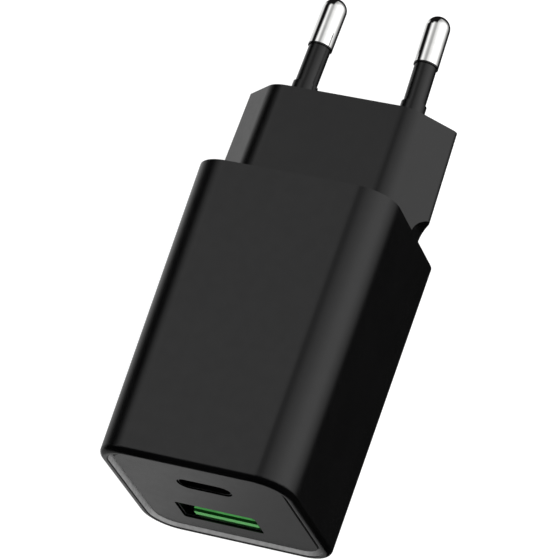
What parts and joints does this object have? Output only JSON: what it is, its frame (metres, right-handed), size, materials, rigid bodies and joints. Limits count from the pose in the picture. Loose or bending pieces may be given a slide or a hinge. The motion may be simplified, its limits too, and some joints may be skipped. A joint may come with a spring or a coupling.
{
  "type": "usb wall charger",
  "caption": "Boxy black mains charger with a flat round-pin European plug head, rounded edges, and a USB-C port above a green-tongued USB-A port.",
  "frame": {"origin": "midway between the two pins, on the face of the plug head that meets the socket", "axes": "+Y into the socket along the pins, +Z out of the large front face, +X to the right seen from the ports"},
  "size_m": [0.0358, 0.0867, 0.0316],
  "materials": {
    "housing": "satin moulded, finely textured",
    "pin_metal": "bright nickel plate",
    "green_tongue": "satin moulded",
    "port_steel": "drawn and plated",
    "contact_alloy": "gold flash on copper alloy",
    "port_insulator": "moulded",
    "circuit_board": "solder mask over glass laminate",
    "live_insulation": "extruded",
    "neutral_insulation": "extruded",
    "capacitor_sleeve": "shrink sleeve",
    "capacitor_can": "drawn can",
    "fuse_body": "moulded",
    "thermistor_coat": "dipped coat",
    "film_box": "moulded box",
    "disc_coat": "dipped coat",
    "ferrite": "sintered, ground faces",
    "copper_wire": "enamelled copper",
    "bobbin_plastic": "moulded",
    "chip_package": "moulded epoxy",
    "chip_ceramic": "fired, with tinned ends",
    "silicone_pad": "soft silicone",
    "spreader_metal": "rolled sheet",
    "insulating_film": "clear amber film"
  },
  "bodies": {
    "charger": {"body_shell": "housing", "plug_head": "housing", "end_plate": "housing", "pin_sleeve_left": "housing", "pin_sleeve_right": "housing", "pin_left": "pin_metal", "pin_right": "pin_metal", "usb_a_tongue": "green_tongue", "usb_a_shell": "port_steel", "usb_c_shell": "port_steel", "usb_a_contact_tails": "contact_alloy", "usb_c_contacts": "contact_alloy", "link_pins": "contact_alloy", "usb_c_tongue": "port_insulator", "link_header": "port_insulator", "main_board": "circuit_board", "upper_board": "circuit_board", "live_wire": "live_insulation", "neutral_wire": "neutral_insulation", "bulk_capacitor_1": "capacitor_sleeve", "bulk_capacitor_2": "capacitor_sleeve", "bulk_capacitor_3": "capacitor_sleeve", "output_capacitors": "capacitor_can", "fuse": "fuse_body", "inrush_thermistor": "thermistor_coat", "film_capacitor": "film_box", "y_capacitor": "disc_coat", "choke_core": "ferrite", "transformer_core": "ferrite", "output_inductor": "ferrite", "choke_winding_live": "copper_wire", "choke_winding_neutral": "copper_wire", "transformer_winding": "copper_wire", "transformer_bobbin": "bobbin_plastic", "bridge_rectifier": "chip_package", "switching_transistor": "chip_package", "primary_controller": "chip_package", "optocoupler": "chip_package", "synchronous_rectifier": "chip_package", "port_controller": "chip_package", "ceramic_capacitors": "chip_ceramic", "chip_resistors": "chip_ceramic", "thermal_pad": "silicone_pad", "heat_spreader": "spreader_metal", "insulation_sheet": "insulating_film"},
    "contact_springs": {"usb_a_contact_springs": "contact_alloy"}
  },
  "joints": [
    {"name": "usb_a_contact_flex", "type": "hinge", "parent": "charger", "child": "contact_springs", "pos_m": [-0.00051, -0.05905, -0.00628], "axis": [1, 0, 0], "range_deg": [0, 4], "stiffness_Nm_per_rad": 0.02}
  ]
}
